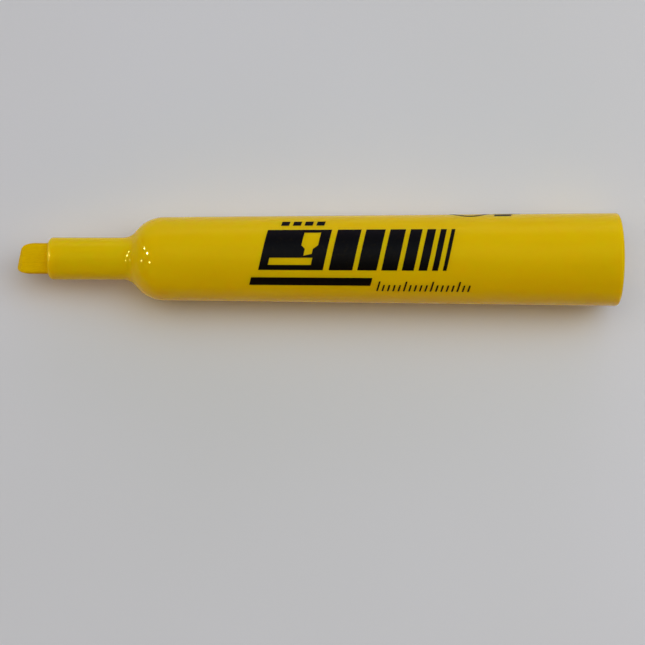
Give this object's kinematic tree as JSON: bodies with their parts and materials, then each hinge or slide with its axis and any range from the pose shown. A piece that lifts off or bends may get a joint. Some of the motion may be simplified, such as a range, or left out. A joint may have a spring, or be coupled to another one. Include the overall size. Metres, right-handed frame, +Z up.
{
  "type": "highlighter pen",
  "caption": "Yellow tank highlighter with its cap off: tapered one-piece barrel drawn in to a slim nozzle, chisel felt nib, fibre ink reservoir in a film sleeve with a breather tube, rear plug.",
  "frame": {"origin": "middle of the length, straight below the pen's axis, level with the lowest point of the barrel's rear rim", "axes": "+X along the pen's axis from the nib to the rear, +Z up as the pen lies on its side with the nib's broad faces up and down, +Y towards the nib's set-back heel"},
  "size_m": [0.1142, 0.0176, 0.0177],
  "materials": {
    "barrel_plastic": "moulded polypropylene, glossy, saturated yellow",
    "plug_plastic": "moulded polyethylene, same yellow, slightly softer gloss",
    "nib_felt": "bonded felt soaked with yellow ink, matte",
    "reservoir_fibre": "bonded fibre soaked with yellow ink",
    "film": "thin clear film",
    "tube_plastic": "natural polyethylene",
    "print_ink": "black ink printed on the barrel, semi-gloss"
  },
  "bodies": {
    "root": {"barrel": "barrel_plastic", "rear_plug": "plug_plastic", "nib": "nib_felt", "reservoir_core": "reservoir_fibre", "reservoir_film": "film", "breather_tube": "tube_plastic"}
  },
  "joints": []
}
